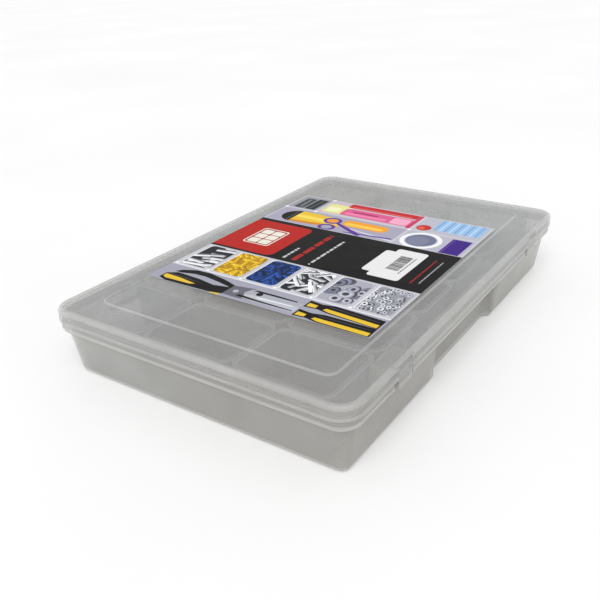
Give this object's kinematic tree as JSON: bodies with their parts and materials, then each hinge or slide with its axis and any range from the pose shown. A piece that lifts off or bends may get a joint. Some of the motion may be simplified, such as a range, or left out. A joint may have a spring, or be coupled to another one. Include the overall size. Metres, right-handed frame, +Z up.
{
  "type": "compartment organiser box",
  "caption": "Low frosted organiser box with lift-out tray cups, a hinged lid, front latch clips and a printed label on the lid.",
  "frame": {"origin": "centre of the closed box in plan, on the surface it stands on", "axes": "+X along the long side, -Y out of the front with the finger recess and latches, +Y towards the hinges, +Z up"},
  "size_m": [0.275, 0.187, 0.0411],
  "materials": {
    "base_plastic": "frosted translucent polypropylene",
    "lid_plastic": "frosted translucent polypropylene",
    "tray_plastic": "thin frosted translucent polypropylene",
    "label_print": "glossy printed film with coloured panels",
    "barcode_print": "white paper with black bars",
    "pin_steel": "drawn steel wire"
  },
  "bodies": {
    "base": {"base": "base_plastic", "hinge_pin_left": "pin_steel", "hinge_pin_right": "pin_steel", "tray_front_1": "tray_plastic", "tray_front_2": "tray_plastic", "tray_front_3": "tray_plastic", "tray_front_4": "tray_plastic", "tray_front_5": "tray_plastic", "tray_front_6": "tray_plastic", "tray_middle_1": "tray_plastic", "tray_middle_2": "tray_plastic", "tray_middle_3": "tray_plastic", "tray_middle_4": "tray_plastic", "tray_middle_5": "tray_plastic", "tray_middle_6": "tray_plastic", "tray_back_1": "tray_plastic", "tray_back_2": "tray_plastic", "tray_back_3": "tray_plastic", "tray_back_5": "tray_plastic", "tray_back_6": "tray_plastic"},
    "lid": {"lid": "lid_plastic", "label_sticker": "label_print", "barcode_sticker": "barcode_print"},
    "latch_left": {"latch_left": "lid_plastic"},
    "latch_right": {"latch_right": "lid_plastic"}
  },
  "joints": [
    {"name": "lid_hinge", "type": "hinge", "parent": "base", "child": "lid", "pos_m": [0, 0.0914, 0.022], "axis": [-1, 0, 0], "range_deg": [0, 180]},
    {"name": "latch_left_pivot", "type": "hinge", "parent": "lid", "child": "latch_left", "pos_m": [-0.0885, -0.0913, 0.0364], "axis": [-1, 0, 0], "range_deg": [0, 75]},
    {"name": "latch_right_pivot", "type": "hinge", "parent": "lid", "child": "latch_right", "pos_m": [0.0885, -0.0913, 0.0364], "axis": [-1, 0, 0], "range_deg": [0, 75]}
  ]
}
